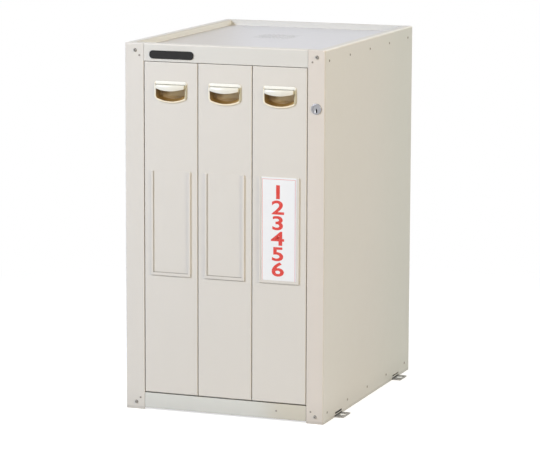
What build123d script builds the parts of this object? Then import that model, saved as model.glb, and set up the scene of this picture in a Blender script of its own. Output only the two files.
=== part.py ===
from build123d import *
import os
from math import cos, radians, sin

# Chemical safety cabinet: a folded steel carcass with three tall pull-out racks side by side,
# one key lock for all three, and four anchor plates for the floor.
# Millimetres. X runs to the right, Y to the back, Z up. The origin is on the floor, in the
# middle of the carcass, so the front face is at minus Y.

# Carcass sizes
body_width = 455.0
body_depth = 600.0
body_height = 800.0
sheet = 1.2
bend_radius = 2.5
edge_break = 0.8
stile_left = 43.5
stile_right = 38.5
stile_return = 25.0
rear_return = 24.0
foot_return = 25.0
rim_width = 18.0
rim_drop = 12.0
top_rail_height = 38.0
bottom_rail_height = 33.0
bottom_rail_lift = 4.5
rail_return = 16.0
seam = 0.3
panel_fit = 0.2
tab_length = 28.0
tab_overlap = 12.0
tab_margin = 4.0
side_flange = 24.0
side_flange_end = 30.0
back_strip_end = 30.0

# Round ventilation grid in the top
vent_x = -15.0
vent_y = 62.0
vent_rings = 4
vent_ring_pitch = 10.0
vent_hole_radius = 2.6

# Rivets and screws
rivet_radius = 1.6
rivet_hole_play = 0.05
rivet_head_radius = 3.0
rivet_head_height = 0.8
small_head_radius = 2.2
rivet_taper = 35.0
rivet_count = 5
rivet_from_front = 25.0
rivet_from_back = 35.0
rivet_from_top = 24.0
rivet_from_floor = 22.0
screw_radius = 2.0
screw_hole_play = 0.1
screw_head_radius = 3.8
screw_head_height = 2.2
screw_length = 6.0
screw_recess = 1.1
screw_taper = 20.0
corner_screw_from_opening = 19.7
corner_screw_end = 15.5
corner_rivet_from_opening = 9.8
corner_rivet_end = 26.0
rail_rivet_x = 121.0
back_screw_inset = 12.0
back_screw_pitch = 230.0
back_screw_count = 3

# Floor anchors
anchor_from_end = 100.0
anchor_width = 48.0
anchor_plate = 2.3
anchor_reach = 20.0
anchor_setback = 14.0
anchor_flange = 18.0
anchor_slot_width = 7.0
anchor_slot_length = 12.0
anchor_play = 1.5
anchor_notch_height = 4.5
side_slot_length = 44.0
side_slot_height = 3.0
side_slot_level = 8.5
anchor_bolt_radius = 3.0
anchor_bolt_head_radius = 5.0
anchor_bolt_head = 4.0
anchor_bolt_length = 12.0

# Rack fronts
front_gap = 1.8
front_gap_above = 1.2
front_gap_below = 2.6
front_depth = 18.0
front_sheet = 1.0
front_return = 16.0
front_edge = 1.5

# Rack trays, guard rods and back plate
rack_side_gap = 9.0
rack_back_gap = 32.0
rack_head_gap = 41.8
tray_wall = 1.0
tray_corner = 3.0
tray_play = 0.2
tray_names = ("low", "centre", "high")
tray_lip = 38.0
rod_radius = 2.5
rod_level = 95.0
rod_gap = 0.5
back_plate_flange = 18.0

# Telescopic slides under the racks
slide_width = 45.0
slide_height = 17.3
slide_wall = 1.8
slide_lip = 3.0
slide_gap = 0.4
slide_rise = 2.0
slide_setback = 10.0
outer_slide_back_gap = 14.0
middle_slide_back_gap = 51.6
inner_slide_end = 4.0

# Top guide channels and their nylon sliders
guide_width = 16.0
guide_height = 14.0
guide_start = 38.0
guide_end = 12.0
slider_side_gap = 0.6
slider_top_gap = 1.0
slider_length = 18.0
slider_drop = 4.0
slider_seat_width = 16.0

# Cup pulls
pull_width = 74.5
pull_height = 47.0
pull_from_top = 40.0
pull_bow = 9.0
pull_rim = 2.5
pull_corner = 5.0
pull_body_inset = 3.5
pull_wall = 1.5
pull_depth = 13.5
pull_hole_play = 0.3
pull_ledge = 1.0
hood_inset = 4.3
hood_drop = 7.4
hood_height = 12.7
hood_bow = 4.0
hood_reach = 9.0
hood_wall = 2.0

# Label holders and the card in the right-hand one
holder_margin = 15.5
holder_from_top = 233.5
holder_height = 227.5
holder_sheet = 0.8
holder_lip_left = 5.0
holder_lip_right = 6.0
holder_lip_bottom = 6.0
card_thickness = 0.9
card_play = 0.5
card_side_gap = 3.5
card_top_gap = 0.2
card_shift = -0.5

# Blank name plate on the top rail
plate_margin = 10.3
plate_height = 17.5
plate_corner = 7.5
plate_thickness = 1.5
plate_from_top = 23.3
plate_shift = 1.8

# Key lock and the bar that it lifts
lock_from_top = 124.0
lock_bezel_radius = 11.5
lock_bezel_height = 2.0
lock_barrel_radius = 9.6
lock_fit = 0.05
lock_nut_radius = 13.0
lock_nut_height = 3.0
plug_radius = 8.0
plug_front = 0.8
plug_stub_radius = 4.0
plug_stub_length = 2.6
key_slot_width = 2.0
key_slot_height = 8.0
key_slot_drop = 3.0
key_slot_depth = 12.0
cam_gap = 0.4
cam_thickness = 2.0
cam_radius = 9.0
cam_boss_radius = 7.0
cam_tip_radius = 4.0
cam_start_angle = 45.0
pin_radius = 2.0
pin_play = 0.4
bar_thickness = 2.0
bar_gap = 2.0
bar_clear = 7.4
bar_rest_gap = 1.3
bar_lock_gap = 1.3
bar_end = 30.0
leg_beside_pin = 9.6
leg_side_gap = 2.8
leg_below_pin = 10.0
tab_width = 10.0
tab_rest_gap = 2.0
tab_from_edge = 22.5
catch_width = 24.0
catch_reach = 20.0
catch_play = 1.5
guide_pin_radius = 2.0
guide_pin_play = 0.3
guide_pin_head = 3.8
guide_pin_head_height = 1.0
guide_pin_drop = 38.5
guide_bracket_height = 30.0
guide_bracket_sheet = 1.2
guide_bracket_flange = 12.0
guide_bracket_gap = 0.5
clip_width = 14.0
clip_height = 22.0

# How far a cut runs past the face that it leaves
over = 1.0

# Places worked out from the sizes
side_x = body_width / 2
front_y = -body_depth / 2
back_y = body_depth / 2
opening_left = -side_x + stile_left
opening_right = side_x - stile_right
opening_bottom = bottom_rail_lift + bottom_rail_height
opening_top = body_height - top_rail_height
corner_screw_xs = {-1: opening_left - corner_screw_from_opening,
                   1: opening_right + corner_screw_from_opening}
corner_rivet_xs = {-1: opening_left - corner_rivet_from_opening,
                   1: opening_right + corner_rivet_from_opening}
rack_names = ("left", "middle", "right")
rack_count = len(rack_names)
front_width = (opening_right - opening_left - front_gap * (rack_count + 1)) / rack_count
front_bottom = opening_bottom + front_gap_below
front_top = opening_top - front_gap_above
front_back_y = front_y + front_depth
rack_pitch = front_width + front_gap
rack_xs = [opening_left + front_gap + front_width / 2 + i * rack_pitch for i in range(rack_count)]
rack_half_width = front_width / 2 - rack_side_gap
tab_offset = front_width / 2 - tab_from_edge
floor_top = opening_bottom - sheet
floor_under = floor_top - sheet
ceiling_top = body_height - rim_drop
ceiling = ceiling_top - sheet
anchor_y = body_depth / 2 - anchor_from_end
inner_side_x = side_x - sheet - panel_fit
inner_front_y = front_y + 2 * sheet + panel_fit
inner_back_y = back_y - 2 * sheet - panel_fit
slide_top = floor_top + slide_height + slide_rise
slide_front_y = front_back_y + slide_setback
rack_back_y = back_y - rack_back_gap
rack_length = rack_back_y - front_back_y
rack_top = ceiling - rack_head_gap
tray_pitch = (rack_top - slide_top) / len(tray_names)
tray_levels = [slide_top + i * tray_pitch for i in range(len(tray_names))]
back_levels = [body_height / 2 + (i - (back_screw_count - 1) / 2) * back_screw_pitch
               for i in range(back_screw_count)]
rivet_pitch = (body_depth - rivet_from_front - rivet_from_back) / (rivet_count - 1)
rivet_ys = [front_y + rivet_from_front + i * rivet_pitch for i in range(rivet_count)]
lock_x = opening_right + stile_right / 2
lock_level = body_height - lock_from_top
bar_front_y = front_back_y + bar_clear
bar_back_y = bar_front_y + bar_thickness
cam_y = bar_front_y - bar_gap - cam_thickness
lock_barrel_length = cam_y - cam_gap - front_y
lock_lift = 2 * cam_radius * sin(radians(cam_start_angle))
bar_top = ceiling - bar_rest_gap
bar_bottom = front_top + lock_lift + bar_lock_gap
bar_height = bar_top - bar_bottom
tab_drop = bar_bottom - front_top - tab_rest_gap
pin_x = lock_x + cam_radius * cos(radians(cam_start_angle))
pin_z = lock_level + cam_radius * sin(radians(cam_start_angle))
leg_right = side_x - sheet - leg_side_gap
leg_left = pin_x - leg_beside_pin
leg_x = (leg_left + leg_right) / 2
guide_pin_level = bar_bottom - guide_pin_drop
stile_edge = min(edge_break, 0.75 * sheet)

os.makedirs("parts", exist_ok=True)


def block(x0, x1, y0, y1, z0, z1, mode=Mode.ADD):
    """Add or cut a box given by two opposite corners."""
    with Locations(((x0 + x1) / 2, (y0 + y1) / 2, (z0 + z1) / 2)):
        Box(abs(x1 - x0), abs(y1 - y0), abs(z1 - z0), mode=mode)


def facing_front(y):
    """A plane at this Y whose normal points out of the front: local x is X, local y is Z."""
    return Plane.XZ.offset(-y)


def facing_right(x):
    """A plane at this X whose normal points to the right: local x is Y, local y is Z."""
    return Plane.YZ.offset(x)


def save(piece, name):
    """Label a finished piece and write it under its node's name."""
    piece.part.label = name
    export_step(piece.part, f"parts/{name}.step")


# Folded outer skin, from which the visible carcass pieces are cut so that their bends line up
with BuildPart() as skin:
    with BuildSketch() as footprint:
        Rectangle(body_width, body_depth)
        fillet(footprint.vertices(), bend_radius)
    extrude(amount=body_height)
    fillet(skin.faces().sort_by(Axis.Z)[-1].edges(), bend_radius)
    offset(amount=-sheet, openings=skin.faces().sort_by(Axis.Z)[0])

# Side panels: web, front stile with its turned-in edge, rear return, rim and foot return
for name, side, stile in (("left", -1, stile_left), ("right", 1, stile_right)):
    web_x = side * side_x
    inside_x = side * (side_x - sheet)
    stile_x = side * (side_x - stile)
    rear_x = side * (side_x - rear_return)
    rim_x = side * (side_x - rim_width)
    with BuildPart() as side_panel:
        block(web_x, rim_x, front_y, back_y, 0, body_height)
        block(web_x, stile_x, front_y, front_y + rim_width, 0, body_height)
        block(web_x, rear_x, back_y - rim_width, back_y, 0, body_height)
        add(skin.part, mode=Mode.INTERSECT)
        block(stile_x, stile_x + side * sheet, front_y, front_y + stile_return,
              opening_bottom, opening_top)
        block(inside_x, inside_x - side * foot_return, front_y + sheet, back_y - sheet, 0, sheet)
        block(rim_x, rim_x + side * sheet, front_y + rim_width - sheet,
              back_y - rim_width + sheet, ceiling_top, body_height - sheet)
        block(rim_x, stile_x, front_y + rim_width - sheet, front_y + rim_width,
              ceiling_top, body_height - sheet)
        block(rim_x, rear_x, back_y - rim_width, back_y - rim_width + sheet,
              ceiling_top, body_height - sheet)
        stile_edges = side_panel.edges().filter_by(Axis.Z).filter_by(
            lambda edge: abs(edge.center().X - stile_x) < sheet / 4
            and abs(edge.center().Y - front_y) < sheet / 4)
        fillet(stile_edges, stile_edge)
        for y in (-anchor_y, anchor_y):
            half_notch = anchor_width / 2 + anchor_play
            block(web_x + side * over, inside_x - side * (foot_return + over), y - half_notch,
                  y + half_notch, -over, anchor_notch_height, mode=Mode.SUBTRACT)
        with BuildSketch(facing_right(web_x)):
            with Locations((-anchor_y, side_slot_level), (anchor_y, side_slot_level)):
                SlotOverall(side_slot_length, side_slot_height)
            with Locations([(y, z) for y in rivet_ys
                            for z in (rivet_from_floor, body_height - rivet_from_top)]):
                Circle(rivet_radius + rivet_hole_play)
        extrude(amount=2 * sheet, both=True, mode=Mode.SUBTRACT)
        with BuildSketch(facing_front(front_y)):
            with Locations((corner_screw_xs[side], corner_screw_end),
                           (corner_screw_xs[side], body_height - corner_screw_end)):
                Circle(screw_radius + screw_hole_play)
            with Locations((corner_rivet_xs[side], corner_rivet_end),
                           (corner_rivet_xs[side], body_height - corner_rivet_end)):
                Circle(rivet_radius + rivet_hole_play)
            if side > 0:
                with Locations((lock_x, lock_level)):
                    Circle(lock_barrel_radius + lock_fit)
        extrude(amount=2 * sheet, both=True, mode=Mode.SUBTRACT)
        with BuildSketch(facing_front(back_y)):
            with Locations([(side * (side_x - back_screw_inset), z) for z in back_levels]):
                Circle(screw_radius + screw_hole_play)
        extrude(amount=2 * sheet, both=True, mode=Mode.SUBTRACT)
    save(side_panel, f"side_panel_{name}")


def end_tabs(z0, z1):
    """Tabs at both ends of a front rail, lapped behind the stiles, with their fastener holes."""
    y0 = front_y + sheet
    for side, edge_x in ((-1, opening_left), (1, opening_right)):
        block(edge_x - side * tab_overlap, edge_x + side * tab_length, y0, y0 + sheet, z0, z1)


def corner_holes(screw_z, rivet_z):
    """Holes through the tabs, in line with those of the stiles."""
    with BuildSketch(facing_front(front_y + sheet)) as holes:
        with Locations([(x, screw_z) for x in corner_screw_xs.values()]):
            Circle(screw_radius + screw_hole_play)
        with Locations([(x, rivet_z) for x in corner_rivet_xs.values()]):
            Circle(rivet_radius + rivet_hole_play)
    extrude(holes.sketch, amount=-2 * sheet, mode=Mode.SUBTRACT)


# Front rail above the racks, with the front run of the rim
rail_left = opening_left + seam
rail_right = opening_right - seam
with BuildPart() as top_rail:
    block(rail_left, rail_right, front_y, front_y + rim_width, opening_top, body_height)
    add(skin.part, mode=Mode.INTERSECT)
    block(rail_left, rail_right, front_y + rim_width - sheet, front_y + rim_width,
          ceiling_top, body_height - sheet)
    block(rail_left, rail_right, front_y, front_y + rail_return, opening_top, opening_top + sheet)
    fillet(top_rail.faces().sort_by(Axis.Z)[0].edges().filter_by(Axis.X).sort_by(Axis.Y)[0],
           stile_edge)
    end_tabs(opening_top + tab_margin, body_height - bend_radius - tab_margin)
    corner_holes(body_height - corner_screw_end, body_height - corner_rivet_end)
save(top_rail, "top_rail")

# Front rail below the racks
with BuildPart() as bottom_rail:
    block(rail_left, rail_right, front_y, front_y + rail_return, bottom_rail_lift, opening_bottom)
    add(skin.part, mode=Mode.INTERSECT)
    block(rail_left, rail_right, front_y, front_y + rail_return, floor_top, opening_bottom)
    block(rail_left, rail_right, front_y, front_y + rail_return, bottom_rail_lift,
          bottom_rail_lift + sheet)
    fillet(bottom_rail.edges().filter_by(Axis.X).group_by(Axis.Y)[0], stile_edge)
    end_tabs(bottom_rail_lift + tab_margin, floor_top - tab_margin)
    corner_holes(corner_screw_end, corner_rivet_end)
    with BuildSketch(facing_front(front_y)):
        with Locations((rail_rivet_x, rivet_from_floor)):
            Circle(rivet_radius + rivet_hole_play)
    extrude(amount=-2 * sheet, mode=Mode.SUBTRACT)
save(bottom_rail, "bottom_rail")

# Back panel, with the rear run of the rim and two strips lapped behind the side returns
back_edge_x = side_x - rear_return - seam
with BuildPart() as back_panel:
    block(-back_edge_x, back_edge_x, back_y - rim_width, back_y, bottom_rail_lift, body_height)
    add(skin.part, mode=Mode.INTERSECT)
    block(-back_edge_x, back_edge_x, back_y - rim_width, back_y - rim_width + sheet,
          ceiling_top, body_height - sheet)
    for side in (-1, 1):
        block(side * (back_edge_x - tab_overlap), side * (inner_side_x - bend_radius),
              back_y - 2 * sheet, back_y - sheet, back_strip_end, ceiling - back_strip_end)
    with BuildSketch(facing_front(back_y)):
        with Locations([(side * (side_x - back_screw_inset), z) for side in (-1, 1)
                        for z in back_levels]):
            Circle(screw_radius + screw_hole_play)
    extrude(amount=3 * sheet, both=True, mode=Mode.SUBTRACT)
save(back_panel, "back_panel")


def side_flanges(z0, z1, gaps):
    """Flanges along both sides of a floor or ceiling panel, riveted to the side panels."""
    for side in (-1, 1):
        block(side * inner_side_x, side * (inner_side_x - sheet), front_y + side_flange_end,
              back_y - side_flange_end, z0, z1)
        for y in gaps:
            half_gap = anchor_width / 2 + 2 * anchor_play
            block(side * (inner_side_x + over), side * (inner_side_x - 2 * sheet), y - half_gap,
                  y + half_gap, z0 - over, z1, mode=Mode.SUBTRACT)


def side_rivet_holes(level):
    """Rivet holes through both side flanges at one level."""
    with BuildSketch(facing_right(0)) as holes:
        with Locations([(y, level) for y in rivet_ys]):
            Circle(rivet_radius + rivet_hole_play)
    extrude(holes.sketch, amount=side_x, both=True, mode=Mode.SUBTRACT)


# Ceiling panel, sunk below the rim, with the ventilation grid
with BuildPart() as ceiling_panel:
    block(-inner_side_x, inner_side_x, inner_front_y, inner_back_y, ceiling, ceiling_top)
    side_flanges(ceiling - side_flange, ceiling, ())
    side_rivet_holes(body_height - rivet_from_top)
    with BuildSketch(Plane.XY.offset(ceiling)):
        with Locations((vent_x, vent_y)):
            Circle(vent_hole_radius)
            for ring in range(1, vent_rings + 1):
                with PolarLocations(ring * vent_ring_pitch, 6 * ring):
                    Circle(vent_hole_radius)
    extrude(amount=2 * sheet, both=True, mode=Mode.SUBTRACT)
save(ceiling_panel, "ceiling_panel")

# Floor panel, which carries the slides
anchor_bolt_x = side_x - anchor_setback - anchor_plate - anchor_flange / 2
anchor_points = [(x, y) for x in (-anchor_bolt_x, anchor_bolt_x) for y in (-anchor_y, anchor_y)]
with BuildPart() as floor_panel:
    block(-inner_side_x, inner_side_x, inner_front_y, inner_back_y, floor_under, floor_top)
    side_flanges(floor_under - side_flange, floor_under, (-anchor_y, anchor_y))
    side_rivet_holes(rivet_from_floor)
    with BuildSketch(Plane.XY.offset(floor_under)):
        with Locations(anchor_points):
            Circle(anchor_bolt_radius + screw_hole_play)
    extrude(amount=2 * sheet, both=True, mode=Mode.SUBTRACT)
save(floor_panel, "floor_panel")

# Rivets through the sides, the stile corners and the bottom rail
rivet_grip = 2 * sheet + panel_fit
with BuildPart() as rivets:
    for side in (-1, 1):
        for level in (rivet_from_floor, body_height - rivet_from_top):
            head_x = side * side_x
            with BuildSketch(facing_right(head_x)):
                with Locations([(y, level) for y in rivet_ys]):
                    Circle(rivet_head_radius)
            extrude(amount=side * rivet_head_height, taper=rivet_taper)
            with BuildSketch(facing_right(head_x)):
                with Locations([(y, level) for y in rivet_ys]):
                    Circle(rivet_radius)
            extrude(amount=-side * (rivet_grip + rivet_head_height))
    corner_rivets = [(x, z) for x in corner_rivet_xs.values()
                     for z in (corner_rivet_end, body_height - corner_rivet_end)]
    rail_rivet = [(rail_rivet_x, rivet_from_floor)]
    with BuildSketch(facing_front(front_y)):
        with Locations(corner_rivets + rail_rivet):
            Circle(small_head_radius)
    extrude(amount=rivet_head_height, taper=rivet_taper)
    with BuildSketch(facing_front(front_y)):
        with Locations(corner_rivets + rail_rivet):
            Circle(rivet_radius)
    extrude(amount=-(rivet_grip + rivet_head_height))
save(rivets, "rivets")

# Pan-head screws with a cross recess at the stile corners and up the back
front_screws = [(x, z) for x in corner_screw_xs.values()
                for z in (corner_screw_end, body_height - corner_screw_end)]
back_screws = [(side * (side_x - back_screw_inset), z) for side in (-1, 1) for z in back_levels]
with BuildPart() as case_screws:
    for face_y, out, places in ((front_y, 1, front_screws), (back_y, -1, back_screws)):
        with BuildSketch(facing_front(face_y)):
            with Locations(places):
                Circle(screw_head_radius)
        extrude(amount=out * screw_head_height, taper=screw_taper)
        with BuildSketch(facing_front(face_y)):
            with Locations(places):
                Circle(screw_radius)
        extrude(amount=-out * screw_length)
        with BuildSketch(facing_front(face_y - out * (screw_head_height - screw_recess))):
            with Locations(places):
                Rectangle(screw_head_radius, screw_recess)
                Rectangle(screw_recess, screw_head_radius)
        extrude(amount=out * 2 * screw_recess, mode=Mode.SUBTRACT)
save(case_screws, "case_screws")

# Floor anchors: a foot with a slotted hole, an upright behind the side panel and a top flange
for fore, y in (("front", -anchor_y), ("rear", anchor_y)):
    for name, side in (("left", -1), ("right", 1)):
        upright_x = side_x - anchor_setback
        with BuildPart() as anchor:
            block(side * (side_x + anchor_reach), side * (upright_x - anchor_plate),
                  y - anchor_width / 2, y + anchor_width / 2, 0, anchor_plate)
            block(side * upright_x, side * (upright_x - anchor_plate),
                  y - anchor_width / 2, y + anchor_width / 2, 0, floor_under)
            block(side * upright_x, side * (upright_x - anchor_plate - anchor_flange),
                  y - anchor_width / 2, y + anchor_width / 2, floor_under - anchor_plate,
                  floor_under)
            outer_corners = anchor.edges().filter_by(Axis.Z).group_by(Axis.X)[-1 if side > 0 else 0]
            fillet(outer_corners, anchor_plate)
            with BuildSketch():
                with Locations((side * (side_x + anchor_reach / 2), y)):
                    SlotOverall(anchor_slot_length, anchor_slot_width)
            extrude(amount=anchor_plate, mode=Mode.SUBTRACT)
            with BuildSketch(Plane.XY.offset(floor_under)):
                with Locations((side * anchor_bolt_x, y)):
                    Circle(anchor_bolt_radius + screw_hole_play)
            extrude(amount=-anchor_plate, mode=Mode.SUBTRACT)
        save(anchor, f"anchor_{fore}_{name}")

# Hexagon bolts that hold the anchors to the floor panel
with BuildPart() as anchor_bolts:
    with BuildSketch(Plane.XY.offset(floor_top)):
        with Locations(anchor_points):
            RegularPolygon(anchor_bolt_head_radius, 6)
    extrude(amount=anchor_bolt_head)
    with BuildSketch(Plane.XY.offset(floor_top)):
        with Locations(anchor_points):
            Circle(anchor_bolt_radius)
    extrude(amount=-anchor_bolt_length)
save(anchor_bolts, "anchor_bolts")

# Blank name plate with a raised edge, on the top rail above the left rack
plate_width = front_width - 2 * plate_margin
plate_level = body_height - plate_from_top
plate_x = rack_xs[0] + plate_shift
with BuildPart() as name_plate:
    with BuildSketch(facing_front(front_y)):
        with Locations((plate_x, plate_level)):
            RectangleRounded(plate_width, plate_height, plate_corner)
    extrude(amount=plate_thickness)
    with BuildSketch(facing_front(front_y - plate_thickness / 2)):
        with Locations((plate_x, plate_level)):
            RectangleRounded(plate_width - plate_thickness, plate_height - plate_thickness,
                             plate_corner - plate_thickness / 2)
    extrude(amount=plate_thickness, mode=Mode.SUBTRACT)
save(name_plate, "name_plate")

# Guide channels under the ceiling, one above each rack
guide_start_y = front_y + guide_start
guide_back_y = back_y - guide_end
with BuildPart() as guide_channels:
    with BuildSketch(facing_front(guide_back_y)):
        with Locations([(x, ceiling - guide_height / 2) for x in rack_xs]):
            Rectangle(guide_width, guide_height)
        with Locations([(x, ceiling - guide_height / 2 - sheet) for x in rack_xs]):
            Rectangle(guide_width - 2 * sheet, guide_height, mode=Mode.SUBTRACT)
    extrude(amount=guide_back_y - guide_start_y)
save(guide_channels, "guide_channels")


def channel_profile(x, width, z0, z1, mouth_lip):
    """Section of a slide member: a channel open upwards, with its top edges turned in."""
    with Locations((x, (z0 + z1) / 2)):
        Rectangle(width, z1 - z0)
        Rectangle(width - 2 * slide_wall, z1 - z0 - 2 * slide_wall, mode=Mode.SUBTRACT)
    with Locations((x, z1 - slide_wall / 2)):
        Rectangle(width - 2 * slide_wall - 2 * mouth_lip, slide_wall, mode=Mode.SUBTRACT)


nest = slide_wall + slide_gap
middle_width = slide_width - 2 * nest
inner_width = middle_width - 2 * nest
outer_z0 = floor_top
outer_z1 = floor_top + slide_height
neck_width = middle_width - 2 * slide_wall - 2 * slide_lip - 2 * slide_gap
for name, x in zip(rack_names, rack_xs):
    with BuildPart() as slide_outer:
        with BuildSketch(facing_front(slide_front_y)):
            channel_profile(x, slide_width, outer_z0, outer_z1, slide_lip)
        extrude(amount=slide_front_y - (back_y - outer_slide_back_gap))
    save(slide_outer, f"slide_outer_{name}")

    with BuildPart() as slide_centre:
        with BuildSketch(facing_front(slide_front_y + slide_gap)):
            channel_profile(x, middle_width, outer_z0 + nest, outer_z1 - nest, slide_lip)
        extrude(amount=slide_front_y + slide_gap - (back_y - middle_slide_back_gap))
    save(slide_centre, f"slide_centre_{name}")

    inner_z0 = outer_z0 + 2 * nest
    inner_z1 = outer_z1 - 2 * nest
    with BuildPart() as slide_inner:
        with BuildSketch(facing_front(slide_front_y)):
            with Locations((x, (inner_z0 + inner_z1) / 2)):
                Rectangle(inner_width, inner_z1 - inner_z0)
            with Locations((x, (inner_z1 + slide_top) / 2)):
                Rectangle(neck_width, slide_top - inner_z1)
            with Locations((x, (inner_z0 + inner_z1 - slide_wall) / 2)):
                Rectangle(inner_width - 2 * slide_wall, inner_z1 - inner_z0 - slide_wall,
                          mode=Mode.SUBTRACT)
            with Locations((x, (inner_z0 + slide_top - slide_wall) / 2)):
                Rectangle(neck_width - 2 * slide_wall, slide_top - inner_z0 - slide_wall,
                          mode=Mode.SUBTRACT)
        extrude(amount=slide_front_y - (rack_back_y - inner_slide_end))
    save(slide_inner, f"slide_inner_{name}")


pull_top = front_top - pull_from_top
pull_bottom = pull_top - pull_height
rim_y = front_y - pull_rim
hood_top = pull_top - hood_drop
hood_edge = hood_top - hood_height


def pull_outline(x, inset):
    """Outline of a cup pull: square shoulders at the top and a bowed lower edge."""
    half = pull_width / 2 - inset
    low = pull_bottom + inset
    with BuildLine() as outline:
        Polyline((x - half, low + pull_bow), (x - half, pull_top - inset),
                 (x + half, pull_top - inset), (x + half, low + pull_bow))
        ThreePointArc((x + half, low + pull_bow), (x, low), (x - half, low + pull_bow))
    shape = make_face(outline.edges())
    fillet(shape.vertices(), max(pull_corner - inset, pull_wall))


def hood_section(inset, edge_z, rear_y):
    """Section of a pull's hood: a quarter round above a short upright, drawn at an inset."""
    reach = hood_reach - inset
    middle_z = hood_top - hood_reach
    slant = reach * sin(radians(45))
    with BuildLine() as outline:
        ThreePointArc((rim_y, middle_z + reach), (rim_y - slant, middle_z + slant),
                      (rim_y - reach, middle_z))
        Polyline((rim_y - reach, middle_z), (rim_y - reach, edge_z), (rear_y, edge_z),
                 (rear_y, middle_z + reach), (rim_y, middle_z + reach))
    make_face(outline.edges())


# Rack fronts: folded pans with a window for the cup pull and a catch for the lock bar
bar_middle_y = (bar_front_y + bar_back_y) / 2
for name, x in zip(rack_names, rack_xs):
    half = front_width / 2
    with BuildPart() as front_panel:
        block(x - half, x + half, front_y, front_back_y, front_bottom, front_top)
        fillet(front_panel.faces().sort_by(Axis.Y)[0].edges(), front_edge)
        block(x - half + front_sheet, x + half - front_sheet, front_y + front_sheet,
              front_back_y - front_sheet, front_bottom + front_sheet, front_top - front_sheet,
              mode=Mode.SUBTRACT)
        block(x - half + front_return, x + half - front_return, front_back_y - 2 * front_sheet,
              front_back_y, front_bottom + front_return, front_top - front_return,
              mode=Mode.SUBTRACT)
        block(x + tab_offset - catch_width / 2, x + tab_offset + catch_width / 2,
              front_back_y, front_back_y + catch_reach, front_top - front_sheet, front_top)
        block(x + tab_offset - tab_width / 2 - catch_play,
              x + tab_offset + tab_width / 2 + catch_play,
              bar_front_y - catch_play, bar_back_y + catch_play,
              front_top - 2 * front_sheet, front_top + front_sheet, mode=Mode.SUBTRACT)
        with BuildSketch(facing_front(front_y)):
            pull_outline(x, pull_body_inset - pull_hole_play)
        extrude(amount=-2 * front_sheet, mode=Mode.SUBTRACT)
    save(front_panel, f"front_panel_{name}")

    with BuildPart() as pull:
        with BuildSketch(facing_front(front_y)):
            pull_outline(x, 0)
        extrude(amount=pull_rim)
        fillet(pull.faces().sort_by(Axis.Y)[0].edges(), pull_rim / 2)
        with BuildSketch(facing_front(front_y)):
            pull_outline(x, pull_body_inset)
        extrude(amount=-pull_depth)
        with BuildSketch(facing_front(front_y - pull_rim)):
            pull_outline(x, pull_body_inset + pull_wall)
        extrude(amount=-(pull_rim + pull_depth - pull_wall), mode=Mode.SUBTRACT)
        recess = pull_width / 2 - pull_body_inset - pull_wall
        block(x - recess, x + recess, rim_y + pull_ledge, front_y + pull_depth,
              hood_top - hood_wall, pull_top - pull_body_inset - pull_wall)
        with BuildSketch(facing_right(x)):
            hood_section(0, hood_edge, front_y)
        extrude(amount=pull_width / 2 - hood_inset, both=True)
        with BuildSketch(facing_right(x)):
            hood_section(hood_wall, hood_edge - over, front_y + pull_wall)
        extrude(amount=pull_width / 2 - hood_inset - hood_wall, both=True, mode=Mode.SUBTRACT)
        with BuildSketch(facing_front(rim_y)):
            with BuildLine():
                side_edge = hood_edge + hood_bow
                ThreePointArc((x - pull_width / 2, side_edge), (x, hood_edge),
                              (x + pull_width / 2, side_edge))
                Polyline((x + pull_width / 2, side_edge), (x + pull_width / 2, hood_edge - over),
                         (x - pull_width / 2, hood_edge - over), (x - pull_width / 2, side_edge))
            make_face()
        extrude(amount=2 * hood_reach, mode=Mode.SUBTRACT)
    save(pull, f"cup_pull_{name}")

    holder_left = x - front_width / 2 + holder_margin
    holder_right = x + front_width / 2 - holder_margin
    holder_top = front_top - holder_from_top
    holder_bottom = holder_top - holder_height
    lip_y = front_y - holder_sheet - card_thickness - card_play
    holder_front_y = lip_y - holder_sheet
    with BuildPart() as label_holder:
        block(holder_left, holder_right, holder_front_y, front_y, holder_bottom, holder_top)
        fillet(label_holder.faces().sort_by(Axis.Y)[0].edges(), holder_sheet / 2)
        block(holder_left + holder_sheet, holder_right - holder_sheet, lip_y,
              front_y - holder_sheet, holder_bottom + holder_sheet, holder_top + over,
              mode=Mode.SUBTRACT)
        block(holder_left + holder_lip_left, holder_right - holder_lip_right,
              holder_front_y - over, lip_y + holder_sheet / 2, holder_bottom + holder_lip_bottom,
              holder_top + over, mode=Mode.SUBTRACT)
    save(label_holder, f"label_holder_{name}")

    # Back plate of the rack, with side flanges and a seat for the top slider
    seat_z = ceiling - guide_height - slider_drop
    with BuildPart() as back_plate:
        block(x - rack_half_width, x + rack_half_width, rack_back_y, rack_back_y + sheet,
              slide_top, rack_top)
        for side in (-1, 1):
            block(x + side * rack_half_width, x + side * (rack_half_width - sheet),
                  rack_back_y - back_plate_flange, rack_back_y + sheet, slide_top, rack_top)
        block(x - slider_seat_width / 2, x + slider_seat_width / 2, rack_back_y,
              rack_back_y + sheet, rack_top, seat_z)
        block(x - slider_seat_width / 2, x + slider_seat_width / 2,
              rack_back_y + sheet - slider_length, rack_back_y + sheet, seat_z - sheet, seat_z)
    save(back_plate, f"rack_back_{name}")

    slider_width = guide_width - 2 * sheet - 2 * slider_side_gap
    with BuildPart() as slider:
        block(x - slider_width / 2, x + slider_width / 2, rack_back_y + sheet - slider_length,
              rack_back_y + sheet, seat_z, ceiling - sheet - slider_top_gap)
        fillet(slider.faces().sort_by(Axis.Z)[-1].edges(), sheet)
    save(slider, f"top_slider_{name}")

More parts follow.
